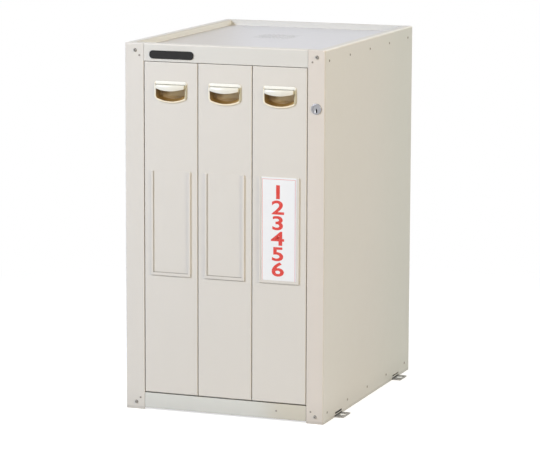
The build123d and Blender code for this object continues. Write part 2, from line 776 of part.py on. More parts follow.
    # Bottle trays: shallow pans open at the top
    tray_half = rack_half_width - sheet - tray_play
    for level_name, level in zip(tray_names, tray_levels):
        with BuildPart() as tray:
            with BuildSketch(Plane.XY.offset(level)) as base:
                with Locations((x, (front_back_y + rack_back_y) / 2)):
                    Rectangle(2 * tray_half, rack_length)
                fillet(base.vertices(), tray_corner)
            extrude(amount=tray_lip)
            offset(amount=-tray_wall, openings=tray.faces().sort_by(Axis.Z)[-1])
        save(tray, f"tray_{level_name}_{name}")

    # Guard rods on both sides of each tray, from the front to the back plate
    rod_x = rack_half_width - sheet - rod_gap - rod_radius
    rod_places = [(x + side * rod_x, level + rod_level) for side in (-1, 1)
                  for level in tray_levels]
    with BuildPart() as guard_rods:
        with BuildSketch(facing_front(rack_back_y)):
            with Locations(rod_places):
                Circle(rod_radius)
        extrude(amount=rack_length)
    save(guard_rods, f"guard_rods_{name}")

# Card in the right-hand label holder
card_y = front_y - holder_sheet
card_left = holder_left + holder_sheet + card_side_gap + card_shift
card_right = holder_right - holder_sheet - card_side_gap + card_shift
with BuildPart() as label_card:
    block(card_left, card_right, card_y - card_thickness, card_y,
          holder_bottom + holder_sheet, holder_top - card_top_gap)
save(label_card, "label_card")

# Lock housing with its bezel on the face of the right stile
with BuildPart() as lock_housing:
    with BuildSketch(facing_front(front_y)):
        with Locations((lock_x, lock_level)):
            Circle(lock_bezel_radius)
    extrude(amount=lock_bezel_height)
    fillet(lock_housing.faces().sort_by(Axis.Y)[0].edges(), lock_bezel_height / 2)
    with BuildSketch(facing_front(front_y)):
        with Locations((lock_x, lock_level)):
            Circle(lock_barrel_radius)
    extrude(amount=-lock_barrel_length)
    with BuildSketch(facing_front(front_y - lock_bezel_height)):
        with Locations((lock_x, lock_level)):
            Circle(plug_radius + lock_fit)
    extrude(amount=-(lock_bezel_height + lock_barrel_length), mode=Mode.SUBTRACT)
save(lock_housing, "lock_housing")

# Hexagon nut that clamps the housing from behind the stile
with BuildPart() as lock_nut:
    with BuildSketch(facing_front(front_y + sheet)):
        with Locations((lock_x, lock_level)):
            RegularPolygon(lock_nut_radius, 6, rotation=30)
            Circle(lock_barrel_radius + lock_fit, mode=Mode.SUBTRACT)
    extrude(amount=-lock_nut_height)
save(lock_nut, "lock_nut")

# Lock plug with its key slot and the stub that carries the cam
plug_face_y = front_y - plug_front
with BuildPart() as lock_plug:
    with BuildSketch(facing_front(plug_face_y)):
        with Locations((lock_x, lock_level)):
            Circle(plug_radius)
    extrude(amount=-(plug_front + lock_barrel_length))
    with BuildSketch(facing_front(front_y + lock_barrel_length)):
        with Locations((lock_x, lock_level)):
            Circle(plug_stub_radius)
    extrude(amount=-plug_stub_length)
    with BuildSketch(facing_front(plug_face_y)):
        with Locations((lock_x, lock_level - key_slot_drop)):
            Rectangle(key_slot_width, key_slot_height)
    extrude(amount=-key_slot_depth, mode=Mode.SUBTRACT)
save(lock_plug, "lock_plug")

# Cam on the plug's stub, with the pin that works the lock bar
with BuildPart() as lock_cam:
    with BuildSketch(facing_front(cam_y)):
        with Locations((lock_x, lock_level)):
            Circle(cam_boss_radius)
        with Locations((pin_x, pin_z)):
            Circle(cam_tip_radius)
        with Locations(Location(((lock_x + pin_x) / 2, (lock_level + pin_z) / 2),
                                cam_start_angle)):
            Rectangle(cam_radius, 2 * cam_tip_radius)
        with Locations((lock_x, lock_level)):
            Circle(plug_stub_radius, mode=Mode.SUBTRACT)
    extrude(amount=-cam_thickness)
    with BuildSketch(facing_front(cam_y + cam_thickness)):
        with Locations((pin_x, pin_z)):
            Circle(pin_radius)
    extrude(amount=-(bar_gap + bar_thickness + pin_radius))
save(lock_cam, "lock_cam")

# Lock bar: a leg behind the stile, a bar above the racks and one tab for each rack's catch
pin_swing = cam_radius * (1 - cos(radians(cam_start_angle)))
with BuildPart() as lock_bar:
    with BuildSketch(facing_front(bar_front_y)):
        leg_bottom = pin_z - leg_below_pin
        with Locations((leg_x, (leg_bottom + bar_top) / 2)):
            Rectangle(leg_right - leg_left, bar_top - leg_bottom)
        bar_left = opening_left + bar_end
        with Locations(((bar_left + leg_right) / 2, (bar_bottom + bar_top) / 2)):
            Rectangle(leg_right - bar_left, bar_height)
        with Locations([(x + tab_offset, bar_bottom - tab_drop / 2) for x in rack_xs]):
            Rectangle(tab_width, tab_drop)
        with Locations((pin_x + pin_swing / 2, pin_z)):
            SlotOverall(pin_swing + 2 * (pin_radius + 2 * pin_play),
                        2 * (pin_radius + pin_play), mode=Mode.SUBTRACT)
        with Locations((leg_x, guide_pin_level + lock_lift / 2)):
            SlotOverall(lock_lift + 2 * (guide_pin_radius + 2 * guide_pin_play),
                        2 * (guide_pin_radius + guide_pin_play), rotation=90,
                        mode=Mode.SUBTRACT)
    extrude(amount=-bar_thickness)
save(lock_bar, "lock_bar")

# Guides of the lock bar: a bracket with a shouldered pin for the leg and a clip near the far end
bracket_y = bar_back_y + guide_bracket_gap
clip_x = opening_left + bar_end + clip_width
with BuildPart() as bar_guides:
    block(leg_left, side_x - sheet, bracket_y, bracket_y + guide_bracket_sheet,
          guide_pin_level - guide_bracket_height / 2, guide_pin_level + guide_bracket_height / 2)
    block(side_x - sheet - guide_bracket_sheet, side_x - sheet, bracket_y,
          bracket_y + guide_bracket_flange, guide_pin_level - guide_bracket_height / 2,
          guide_pin_level + guide_bracket_height / 2)
    with BuildSketch(facing_front(bracket_y)):
        with Locations((leg_x, guide_pin_level)):
            Circle(guide_pin_radius)
    extrude(amount=bracket_y - bar_front_y + guide_bracket_gap)
    with BuildSketch(facing_front(bar_front_y - guide_bracket_gap)):
        with Locations((leg_x, guide_pin_level)):
            Circle(guide_pin_head)
    extrude(amount=guide_pin_head_height)
    for cheek_y in (bracket_y, bar_front_y - guide_bracket_gap - guide_bracket_sheet):
        block(clip_x - clip_width / 2, clip_x + clip_width / 2, cheek_y,
              cheek_y + guide_bracket_sheet, ceiling - clip_height, ceiling)
save(bar_guides, "bar_guides")
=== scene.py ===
import bpy
from math import cos, radians, sin
from mathutils import Matrix, Vector


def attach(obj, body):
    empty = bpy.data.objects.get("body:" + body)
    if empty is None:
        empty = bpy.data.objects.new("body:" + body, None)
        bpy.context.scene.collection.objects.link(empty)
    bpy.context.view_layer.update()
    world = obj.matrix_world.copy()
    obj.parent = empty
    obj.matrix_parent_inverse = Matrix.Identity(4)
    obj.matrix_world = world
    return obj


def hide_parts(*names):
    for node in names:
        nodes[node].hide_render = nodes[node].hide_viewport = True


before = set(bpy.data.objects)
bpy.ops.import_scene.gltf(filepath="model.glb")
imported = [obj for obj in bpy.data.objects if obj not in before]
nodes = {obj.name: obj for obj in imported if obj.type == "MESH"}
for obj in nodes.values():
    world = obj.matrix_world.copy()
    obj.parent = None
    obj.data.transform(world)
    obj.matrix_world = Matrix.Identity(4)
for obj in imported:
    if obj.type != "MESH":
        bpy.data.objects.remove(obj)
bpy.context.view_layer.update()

# Camera
# A long lens a little above the cabinet and to the right of its middle, as a catalogue
# photographer would stand to show the three racks, the top and the right side.
camera_place = Vector((2.1633, -5.8376, 1.3957))
camera_yaw = -0.3558
camera_pitch = 0.1630
camera_roll = 0.0034
looks_along = Vector((sin(camera_yaw) * cos(camera_pitch), cos(camera_yaw) * cos(camera_pitch),
                      -sin(camera_pitch)))
bpy.ops.object.camera_add(location=camera_place)
camera = bpy.context.object
camera.name = "camera"
turn = looks_along.to_track_quat("-Z", "Y").to_matrix() @ Matrix.Rotation(camera_roll, 3, "Z")
camera.rotation_euler = turn.to_euler()
camera.data.sensor_width = 36
camera.data.lens = 188.33
camera.data.clip_end = 40
bpy.context.scene.camera = camera

# Light
# Soft boxes: the key high on the left in front of the cabinet, a warm one on the right and a
# cool weak one behind, in an even pale room. The background is plain white to the camera and in
# reflections.
scene = bpy.context.scene
scene.view_settings.view_transform = "Standard"


def soft_box(name, place, aim, size, power, colour):
    """A square lamp at a place, turned towards the point that it lights."""
    bpy.ops.object.light_add(type="AREA", location=place)
    lamp = bpy.context.object
    lamp.name = name
    lamp.rotation_euler = (Vector(aim) - Vector(place)).to_track_quat("-Z", "Y").to_euler()
    lamp.data.shape = "SQUARE"
    lamp.data.size = size
    lamp.data.energy = power
    lamp.data.color = colour


def feed(tree, node, inputs):
    """Give a node's inputs their values, or the outputs that they take."""
    for name, given in inputs.items():
        if isinstance(given, bpy.types.NodeSocket):
            tree.links.new(given, node.inputs[name])
        else:
            node.inputs[name].default_value = given


def add(tree, kind, inputs, output=0, **settings):
    """Add a shader node with its settings and inputs, and give back one of its outputs."""
    node = tree.nodes.new(f"ShaderNode{kind}")
    for name, value in settings.items():
        setattr(node, name, value)
    feed(tree, node, inputs)
    return node.outputs[output]


def seen_by(tree, *rays):
    """A mask that holds for the named kinds of light ray."""
    path = tree.nodes.new("ShaderNodeLightPath")
    seen = path.outputs[rays[0]]
    for ray in rays[1:]:
        seen = add(tree, "Math", {0: seen, 1: path.outputs[ray]}, operation="MAXIMUM")
    return seen


soft_box("key_light", (-2.6, -3.2, 2.9), (0, -0.3, 0.5), 1.0, 166, (0.815, 0.872, 1.0))
soft_box("side_light", (3.9, -2.2, 2.1), (0.2, 0, 0.5), 1.8, 95, (1.0, 0.84, 0.553))
soft_box("back_light", (1.2, 3.4, 2.6), (0, 0.2, 0.6), 1.6, 44, (0.78, 0.89, 1.0))

white = (1, 1, 1, 1)
world = bpy.data.worlds.new("pale_room")
scene.world = world
world.use_nodes = True
room = world.node_tree
room.nodes.clear()
room_glow = add(room, "Background", {"Color": white, "Strength": 0.25})
room_white = add(room, "Background", {"Color": white, "Strength": 1.0})
room_seen = seen_by(room, "Is Camera Ray", "Is Glossy Ray", "Is Transmission Ray")
room_both = add(room, "MixShader", {"Fac": room_seen, 1: room_glow, 2: room_white})
feed(room, room.nodes.new("ShaderNodeOutputWorld"), {"Surface": room_both})

# Floor
# A wide pale sheet that fades to white around the cabinet and keeps its soft shadow.
fade_from = 0.55
fade_to = 1.6
bpy.ops.object.select_all(action="DESELECT")
bpy.ops.mesh.primitive_plane_add(size=30, location=(0, 0, 0))
floor = bpy.context.object
floor.name = "studio_floor"
floor_white = bpy.data.materials.new("studio_white")
floor_white.use_nodes = True
tree = floor_white.node_tree
tree.nodes.clear()
floor_matt = add(tree, "BsdfDiffuse", {"Color": (0.62, 0.62, 0.62, 1)})
floor_glow = add(tree, "Emission", {"Color": white, "Strength": 0.71})
floor_near = add(tree, "AddShader", {0: floor_matt, 1: floor_glow})
floor_far = add(tree, "Emission", {"Color": white, "Strength": 1.0})
floor_place = add(tree, "TexCoord", {}, "Object")
floor_reach = add(tree, "VectorMath", {0: floor_place}, "Value", operation="LENGTH")
floor_fade = add(tree, "MapRange", {"Value": floor_reach, "From Min": fade_from,
                                    "From Max": fade_to}, "Result",
                 interpolation_type="SMOOTHSTEP")
floor_shown = add(tree, "MixShader", {"Fac": floor_fade, 1: floor_near, 2: floor_far})
floor_seen = seen_by(tree, "Is Camera Ray", "Is Glossy Ray")
floor_both = add(tree, "MixShader", {"Fac": floor_seen, 1: floor_matt, 2: floor_shown})
feed(tree, tree.nodes.new("ShaderNodeOutputMaterial"), {"Surface": floor_both})
floor.data.materials.append(floor_white)

# Carcass
# Side panels, back and floor panel, folded from 1.2 mm sheet steel and powder coated in a warm
# light grey, with the fine orange peel that such a coat has.
across = (1, 0, 0)
inward = (0, 1, 0)
upward = (0, 0, 1)
side_x = 0.2275
half_depth = 0.300
front_y = -half_depth
top_level = 0.800
sheet = 0.0012
rim_width = 0.018
lip_x = side_x - rim_width + sheet / 2
lip_y = half_depth - rim_width + sheet / 2
lip_foot = 0.7868
around_lip = (0.0014, 0.0010)
stile_edge = 0.1886
side_slot_y = -0.2
side_slot_level = 0.0085
side_slot_half = (0.0216, 0.0017)
skirt_top = 0.0330
rear_shade = (-0.05, 0.28)
carcass_colour = (0.725, 0.690, 0.630)


def here(tree):
    """The place on the piece, in its own coordinates."""
    return add(tree, "TexCoord", {}, "Object")


def work_out(tree, operation, *given):
    """One number worked out from others."""
    return add(tree, "Math", dict(enumerate(given)), operation=operation)


def ramp(tree, value, start, end, low=0.0, high=1.0, kind="LINEAR"):
    """Turn a value that goes from start to end into one that goes from low to high."""
    return add(tree, "MapRange", {"Value": value, "From Min": start, "From Max": end,
                                  "To Min": low, "To Max": high}, "Result",
               interpolation_type=kind)


def noise(tree, scale, detail=2.0, roughness=0.5, distortion=0.0):
    """A noise over the places on the piece."""
    return add(tree, "TexNoise", {"Vector": here(tree), "Scale": scale, "Detail": detail,
                                  "Roughness": roughness, "Distortion": distortion}, "Fac")


def relief(tree, height, strength, depth):
    """The normal of a surface that has fine heights."""
    return add(tree, "Bump", {"Height": height, "Strength": strength, "Distance": depth})


def along(tree, direction):
    """How far a place lies along a direction."""
    return add(tree, "VectorMath", {0: here(tree), 1: direction}, "Value",
               operation="DOT_PRODUCT")


def away_from(tree, direction, centre):
    """How far a place lies from a centre along a direction, to either side."""
    offset = work_out(tree, "SUBTRACT", along(tree, direction), centre)
    return work_out(tree, "ABSOLUTE", offset)


def spread(tree, value, none_at, full_at):
    """A mask that goes from 0 to 1 as a value goes from one number to another."""
    return ramp(tree, value, none_at, full_at, kind="SMOOTHSTEP")


def past(direction, none_at, full_at):
    """A mask that goes from 0 to 1 between two places along a direction."""
    return lambda tree: spread(tree, along(tree, direction), none_at, full_at)


def beside(direction, centre, none_at, full_at):
    """A mask that goes from 0 to 1 between two distances from a centre, to either side."""
    return lambda tree: spread(tree, away_from(tree, direction, centre), none_at, full_at)


def where_all(*masks):
    """A mask that holds only where all of the given ones do."""
    def product(tree):
        result = masks[0](tree)
        for mask in masks[1:]:
            result = work_out(tree, "MULTIPLY", result, mask(tree))
        return result
    return product


def shared_effect(name, inputs):
    """A node group with the given inputs, which puts out a colour, a roughness and a height."""
    group = bpy.data.node_groups.new(name, "ShaderNodeTree")
    for label, kind, value in inputs:
        socket = group.interface.new_socket(name=label, in_out="INPUT",
                                            socket_type=f"NodeSocket{kind}")
        socket.default_value = value
    for label, kind in (("Colour", "Color"), ("Roughness", "Float"), ("Height", "Float")):
        group.interface.new_socket(name=label, in_out="OUTPUT", socket_type=f"NodeSocket{kind}")
    return group, group.nodes.new("NodeGroupInput").outputs


def put_out(group, colour, roughness, height):
    """Link the results of a shared effect to its outputs."""
    feed(group, group.nodes.new("NodeGroupOutput"),
         {"Colour": colour, "Roughness": roughness, "Height": height})


def powder_coat_group():
    """Shared effect of a powder coat: cloudy tone, orange peel and painted shade along the foot."""
    group, given = shared_effect("powder_coat", (
        ("Colour", "Color", (0.8, 0.8, 0.8, 1)), ("Cloud", "Float", 0.03),
        ("Peel size", "Float", 420.0), ("Gloss", "Float", 0.38), ("Foot shade", "Float", 0.08)))
    level = along(group, upward)
    cloud = work_out(group, "SUBTRACT", noise(group, 7.0, 3.0), 0.5)
    tone = work_out(group, "MULTIPLY_ADD", cloud, given["Cloud"], 1.0)
    # Painted shade towards the floor, strongest in the last few millimetres.
    foot = work_out(group, "ADD", ramp(group, level, 0.0, 0.055, 1.0, 0.0, "SMOOTHSTEP"),
                    ramp(group, level, 0.0045, 0.0075, 1.6, 0.0))
    painted_foot_shade = work_out(group, "MULTIPLY", foot, given["Foot shade"])
    shade = add(group, "VectorMath", {0: given["Colour"],
                                      "Scale": work_out(group, "SUBTRACT", tone, painted_foot_shade)},
                operation="SCALE")
    gloss = ramp(group, noise(group, 60.0), 0.3, 0.7, -0.03, 0.03)
    put_out(group, shade, work_out(group, "ADD", gloss, given["Gloss"]),
            noise(group, given["Peel size"], 1.5, 0.35))
    return group


powder_coat = powder_coat_group()


def new_finish(name):
    """An empty material with its Principled shader, ready for the piece's own nodes."""
    finish = bpy.data.materials.new(name)
    finish.use_nodes = True
    return finish, finish.node_tree, finish.node_tree.nodes["Principled BSDF"]


def treated(name, effect, strength, depth, metallic, inputs):
    """A finish whose colour, roughness and fine heights come from a shared effect."""
    finish, tree, shader = new_finish(name)
    skin = tree.nodes.new("ShaderNodeGroup")
    skin.node_tree = effect
    feed(tree, skin, inputs)
    feed(tree, shader, {"Base Color": skin.outputs["Colour"],
                        "Roughness": skin.outputs["Roughness"],
                        "Normal": relief(tree, skin.outputs["Height"], strength, depth),
                        "Metallic": metallic})
    return finish


def painted(name, colour, gloss=0.38, foot_shade=0.08):
    """A powder-coated finish in one colour."""
    return treated(name, powder_coat, 0.35, 0.00006, 0.0,
                   {"Colour": (*colour, 1), "Gloss": gloss, "Foot shade": foot_shade})


def dress(finish, *names):
    """Give CAD nodes a finish."""
    for name in names:
        slots = nodes[name].data.materials
        slots.clear()
        slots.append(finish)


def overlay(finish, colour, mask_at, blend="MIX"):
    """Lay a colour over a finish where a mask is 1."""
    tree = finish.node_tree
    base = tree.nodes["Principled BSDF"].inputs["Base Color"]
    mixed = add(tree, "Mix", {"Factor": mask_at(tree), "A": base.links[0].from_socket,
                              "B": (*colour, 1)}, "Result", data_type="RGBA", blend_type=blend)
    tree.links.new(mixed, base)


def tint(finish, shade, mask_at):
    """Multiply a finish's colour by a shade where a mask is 1."""
    overlay(finish, shade, mask_at, blend="MULTIPLY")


carcass_paint = painted("carcass_paint", carcass_colour)
# The inner face of the rim on the left, paler and cooler as painted light.
left_lip = where_all(beside(across, -lip_x, *around_lip),
                     beside(inward, 0, half_depth - 0.0025, half_depth - 0.0030),
                     past(upward, lip_foot, lip_foot + 0.0010),
                     past(upward, top_level - 0.0008, top_level - 0.0015))
tint(carcass_paint, (1.20, 1.26, 1.34), left_lip)
# The inner face of the rim at the back, given a cooler tint as painted light.
rear_lip = where_all(beside(inward, lip_y, *around_lip),
                     beside(across, 0, lip_x - 0.0001, lip_x - 0.0011),
                     past(upward, lip_foot, lip_foot + 0.0010))
tint(carcass_paint, (0.93, 0.975, 1.03), rear_lip)
# The front of the stile that has the lock, warmed a little as painted warm light.
lock_stile = where_all(past(across, stile_edge - 0.0002, stile_edge + 0.0002),
                       past(inward, front_y + 0.0010, front_y + 0.0006))
tint(carcass_paint, (1.0, 0.965, 0.95), lock_stile)
# A painted highlight along the bend at the top of the right side.
right_bend = where_all(past(across, side_x - 0.0060, side_x - 0.0045),
                       past(upward, top_level - 0.0038, top_level - 0.0028))
tint(carcass_paint, (1.20, 1.17, 1.15), right_bend)
# The outer face of both sides is cooled as painted light, with painted shade growing towards the
# back.
side_face = beside(across, 0, side_x - 0.0013, side_x - 0.0007)
tint(carcass_paint, (0.99, 1.02, 1.07), side_face)
side_rear = where_all(side_face, past(inward, *rear_shade))
tint(carcass_paint, (0.945, 0.985, 0.975), side_rear)
# Painted shade: the edges of the long slots at the foot of both sides are painted black.
slot_shade = where_all(beside(across, 0, side_x - 0.0035, side_x - 0.0025),
                       beside(upward, side_slot_level, side_slot_half[1] + 0.0007,
                              side_slot_half[1]),
                       beside(inward, side_slot_y, side_slot_half[0] + 0.0006,
                              side_slot_half[0]))
tint(carcass_paint, (0.04, 0.04, 0.04), slot_shade)
dress(carcass_paint, "side_panel_left", "side_panel_right", "back_panel")
# The floor panel's outer skirts are painted near black as shade behind the slots of the sides.
floor_paint = painted("floor_paint", carcass_colour)
floor_skirt = where_all(beside(across, 0, side_x - 0.0075, side_x - 0.0050),
                        past(upward, skirt_top + 0.0015, skirt_top))
tint(floor_paint, (0.05, 0.05, 0.045), floor_skirt)
dress(floor_paint, "floor_panel")

# Ceiling panel
# The sunk top is a folded panel with a round grid of holes punched in it. It has the same coat in a
# cooler colour as painted light, with painted shade towards its front left corner, and is darker
# around the holes.
vent_x = -0.015
vent_y = 0.062
vent_half_width = 0.036
vent_half_depth = 0.034
dust_reach = 0.016
to_the_corner = (1, 0.37, 0)
shade_range = (-0.02, -0.17)
ceiling_paint = painted("ceiling_paint", (0.750, 0.733, 0.745))
vent_surround = where_all(beside(across, vent_x, vent_half_width + dust_reach, vent_half_width),
                      beside(inward, vent_y, vent_half_depth + dust_reach, vent_half_depth))
tint(ceiling_paint, (0.85, 0.805, 0.725), past(to_the_corner, *shade_range))
tint(ceiling_paint, (0.90, 0.905, 0.90), vent_surround)
dress(ceiling_paint, "ceiling_panel")

# Front rails
# The two rails are lapped behind the stiles, and the joints at their ends carry painted shade.
rail_middle = 0.0025
rail_half = 0.1862
joint_width = 0.0010
rail_shade = (0.06, 0.15)
top_rail_paint = painted("top_rail_paint", (0.705, 0.685, 0.632))
# The bottom rail takes more of the painted shade along its foot.
bottom_rail_paint = painted("bottom_rail_paint", (0.715, 0.715, 0.665), foot_shade=0.10)
rail_joints = beside(across, rail_middle, rail_half - joint_width, rail_half)
# A painted highlight along the top edge of the top rail.
tint(top_rail_paint, (1.09, 1.07, 1.06), past(upward, top_level - 0.0035, top_level - 0.0025))
# Painted shade on the bottom rail, growing towards the right.
tint(bottom_rail_paint, (0.93, 0.88, 0.80), past(across, *rail_shade))
tint(top_rail_paint, (0.82, 0.81, 0.80), rail_joints)
tint(bottom_rail_paint, (0.55, 0.54, 0.53), rail_joints)
dress(top_rail_paint, "top_rail")
dress(bottom_rail_paint, "bottom_rail")

# Rack fronts and label holders
# Folded pans of thinner sheet, one for each rack, with a flat label holder welded on below the
# pull. Both have the same warm light grey powder coat.
rack_pitch = 0.123733
rack_places = {"left": 0.0025 - rack_pitch, "middle": 0.0025, "right": 0.0025 + rack_pitch}
holder_lip_level = 0.3058
holder_sheet_y = -0.3008
front_paint = painted("front_paint", carcass_colour)
holder_paint = painted("holder_paint", carcass_colour)
# Painted shade: a dark line along the foot of the card slot, on the sheet behind the lip.
slot_line = where_all(past(upward, holder_lip_level + 0.0018, holder_lip_level + 0.0006),
                      past(inward, holder_sheet_y - 0.0008, holder_sheet_y - 0.0002))
tint(holder_paint, (0.55, 0.54, 0.53), slot_line)
for rack in rack_places:
    dress(front_paint, f"front_panel_{rack}")
    dress(holder_paint, f"label_holder_{rack}")

# Cup pulls
# Moulded plastic pulls clipped into a window in each rack front: an ivory rim with a bowed
# lower edge, a hood that bulges over the opening to be gripped from below, and a brown cup.
pull_width = 0.0745
pull_height = 0.047
pull_bow = 0.009
pull_top = 0.7208
pull_bottom = pull_top - pull_height
pull_rim = 0.0025
pull_rim_round = 0.0012
pull_rim_width = 0.0036
pull_cup_inset = 0.005
pull_corner = 0.006
pull_wall = 0.0015
pull_ledge = 0.001
band_drop = 0.0030
groove_depth = 0.0016
throat_y = -0.3002
cup_y = -0.288
cup_round = 0.0028
hood_half = 0.0335
hood_top = 0.7132
hood_side_edge = 0.7054
hood_bow = 0.005
hood_front_y = -0.3115
hood_end_share = 0.54
hood_bulge = 0.0052
hood_wall = 0.002
rim_y = front_y - pull_rim
ledge_y = rim_y + pull_ledge
cup_top = hood_top - hood_wall
cup_half = pull_width / 2 - pull_cup_inset
cup_floor_share = (0.86, 1, 0.92)
rim_foot_width = 0.0030
bow_cuts = 23
hood_round = 0.0064
hood_end_round = 0.003
hood_edge_round = 0.0004
pull_edge_round = 0.0003


def near(value, target, play=1e-5):
    """True where a place is at a target."""
    return abs(value - target) < play


def choose(piece, kind, test):
    """Leave selected, in edit mode, only what passes a test of its place (and normal)."""
    bpy.ops.object.mode_set(mode="EDIT")
    bpy.ops.mesh.select_mode(type=kind)
    bpy.ops.mesh.select_all(action="DESELECT")
    bpy.ops.object.mode_set(mode="OBJECT")
    mesh = piece.data
    if kind == "VERT":
        for vertex in mesh.vertices:
            vertex.select = not vertex.hide and test(vertex.co)
    elif kind == "EDGE":
        for edge in mesh.edges:
            edge.select = all(test(mesh.vertices[end].co) for end in edge.vertices)
    else:
        for face in mesh.polygons:
            face.select = test(face.center, face.normal)
    bpy.ops.object.mode_set(mode="EDIT")


def choose_edges(piece, test):
    """Leave selected, in edit mode, only the edges whose two ends together pass a test."""
    choose(piece, "EDGE", lambda at: False)
    bpy.ops.object.mode_set(mode="OBJECT")
    for edge in piece.data.edges:
        edge.select = test(*(piece.data.vertices[end].co for end in edge.vertices))
    bpy.ops.object.mode_set(mode="EDIT")


def upright_plate(name, x, y, z, width, height):
    """A flat plate that faces the front, ready to be shaped, with its place in its mesh."""
    bpy.ops.object.select_all(action="DESELECT")
    bpy.ops.mesh.primitive_plane_add(size=1, location=(x, y, z), rotation=(radians(90), 0, 0))
    piece = bpy.context.object
    piece.name = name
    piece.scale = (width, height, 1)
    bpy.ops.object.transform_apply(location=True, rotation=True, scale=True)
    return piece


def push(y):
    """Extrude what is selected by a step to the back, or to the front where it is negative."""
    bpy.ops.mesh.extrude_region_move(TRANSFORM_OT_translate={"value": (0, y, 0)})


def use_modifier(piece, kind, **settings):
    """Add a modifier, set it and apply it."""
    modifier = piece.modifiers.new(kind.lower(), kind)
    for setting, value in settings.items():
        setattr(modifier, setting, value)
    bpy.ops.object.modifier_apply(modifier=modifier.name)


def draw_out(step, reach):
    """Move what is selected by a step, and what lies within a reach of it less and less."""
    bpy.ops.transform.translate(value=step, use_proportional_edit=True,
                                proportional_edit_falloff="INVERSE_SQUARE",
                                proportional_size=reach)


def take_up(piece):
    """Select one piece alone, in object mode."""
    bpy.ops.object.select_all(action="DESELECT")
    bpy.context.view_layer.objects.active = piece
    piece.select_set(True)


def two_tone(tree, share, one, other):
    """A colour that goes from one to another as a share goes from 0 to 1."""
    return add(tree, "Mix", {"Factor": share, "A": (*one, 1), "B": (*other, 1)}, "Result",
               data_type="RGBA")


def moulded(name, colour, gloss, coat=0.0):
    """A moulded plastic: faint flow marks in the colour and a fine grain off the mould."""
    finish, tree, shader = new_finish(name)
    flow = noise(tree, 38.0, 3.0, distortion=0.8)
    darker = tuple(0.93 * part for part in colour)
    lighter = tuple(min(1.05 * part, 1) for part in colour)
    feed(tree, shader, {"Base Color": two_tone(tree, flow, darker, lighter),
                        "Roughness": ramp(tree, flow, 0.0, 1.0, gloss - 0.05, gloss + 0.05),
                        "Normal": relief(tree, noise(tree, 900.0), 0.3, 0.00002),
                        "Coat Weight": coat, "Coat Roughness": 0.12})
    return finish


def across_pull(none_at, full_at):
    """A mask between two places across a pull, counted from the middle of its own rack."""
    def mask(tree):
        offset = work_out(tree, "SUBTRACT", along(tree, across), rack_places["middle"])
        own = work_out(tree, "WRAP", offset, -rack_pitch / 2, rack_pitch / 2)
        return spread(tree, own, none_at, full_at)
    return mask


# The cup has painted shade on the left and at its foot, painted light on the right, and a painted
# reflection high up.
cup_brown = moulded("pull_cup_brown", (0.40, 0.260, 0.085), 0.40)
cup_reflection = where_all(past(upward, pull_bottom + 0.0112, pull_bottom + 0.0177),
                       across_pull(-0.017, -0.003))
overlay(cup_brown, (0.25, 0.150, 0.046), across_pull(0.002, -0.022))
overlay(cup_brown, (0.55, 0.360, 0.125), across_pull(0.004, 0.026))
overlay(cup_brown, (0.66, 0.530, 0.320), cup_reflection)
tint(cup_brown, (0.64, 0.58, 0.50), past(upward, pull_bottom + 0.0142, pull_bottom + 0.0082))
# The groove below the rim's top band is painted dark as shade.
groove_shade = moulded("pull_groove_shade", (0.30, 0.270, 0.215), 0.55)
# The rim has painted light at its top, is yellower at its foot and on the left, and has painted
# shade on the right.
ivory = moulded("pull_ivory", (0.86, 0.845, 0.750), 0.32, coat=0.25)
rim_right = where_all(across_pull(0.0315, 0.0328),
                      past(upward, pull_bottom + 0.0082, pull_bottom + 0.0112),
                      past(upward, pull_top - 0.0058, pull_top - 0.0083))
overlay(ivory, (0.93, 0.92, 0.85), past(upward, pull_top - 0.0078, pull_top - 0.0058))
overlay(ivory, (0.93, 0.84, 0.65), past(upward, pull_bottom + 0.0147, pull_bottom + 0.0102))
overlay(ivory, (0.93, 0.86, 0.69), across_pull(-0.0325, -0.0340))
overlay(ivory, (0.54, 0.49, 0.34), rim_right)
tint(ivory, (0.95, 0.94, 0.935), past(inward, front_y - 0.0032, front_y - 0.0050))

# The rim and the cup: an outline with its lower edge bowed, rounded, inset and pushed in.
pull = upright_plate("pull_left", 0, front_y, (pull_top + pull_bottom + pull_bow) / 2,
                     pull_width, pull_height - pull_bow)
choose(pull, "VERT", lambda at: True)
bpy.ops.mesh.bevel(offset=pull_corner, segments=6, affect="VERTICES")
choose(pull, "EDGE", lambda at: near(at.z, pull_bottom + pull_bow))
bpy.ops.mesh.subdivide(number_cuts=bow_cuts)
choose(pull, "VERT", lambda at: near(at.x, 0) and at.z < pull_top - pull_corner)
draw_out((0, 0, -pull_bow), pull_width / 2)
choose(pull, "FACE", lambda at, normal: True)
push(y=-pull_rim)
choose(pull, "FACE", lambda at, normal: normal.y > 0.9)
bpy.ops.mesh.delete(type="ONLY_FACE")
choose(pull, "EDGE", lambda at: near(at.y, rim_y))
bpy.ops.mesh.bevel(offset=pull_rim_round, segments=4)
choose(pull, "FACE", lambda at, normal: normal.y < -0.999)
bpy.ops.mesh.inset(thickness=pull_rim_width - pull_rim_round)
choose(pull, "VERT", lambda at: at.y < rim_y + 1e-5
       and abs(at.x) < pull_width / 2 - pull_rim_width + 1e-5
       and pull_top - pull_corner - 1e-4 < at.z < pull_top - pull_rim_width + 1e-5)
bpy.ops.transform.translate(value=(0, 0, -band_drop))
choose(pull, "FACE", lambda at, normal: normal.y < -0.999
       and near(at.y, rim_y) and near(at.x, 0, 0.001)
       and at.z < pull_top - pull_rim_width - band_drop)
push(y=pull_ledge)
bpy.ops.mesh.bisect(plane_co=(0, 0, cup_top), plane_no=(0, 0, 1))
choose(pull, "FACE", lambda at, normal: near(at.y, ledge_y) and at.z > cup_top)
push(y=groove_depth)
choose(pull, "FACE", lambda at, normal: near(at.y, ledge_y) and at.z < cup_top)
push(y=throat_y - ledge_y)
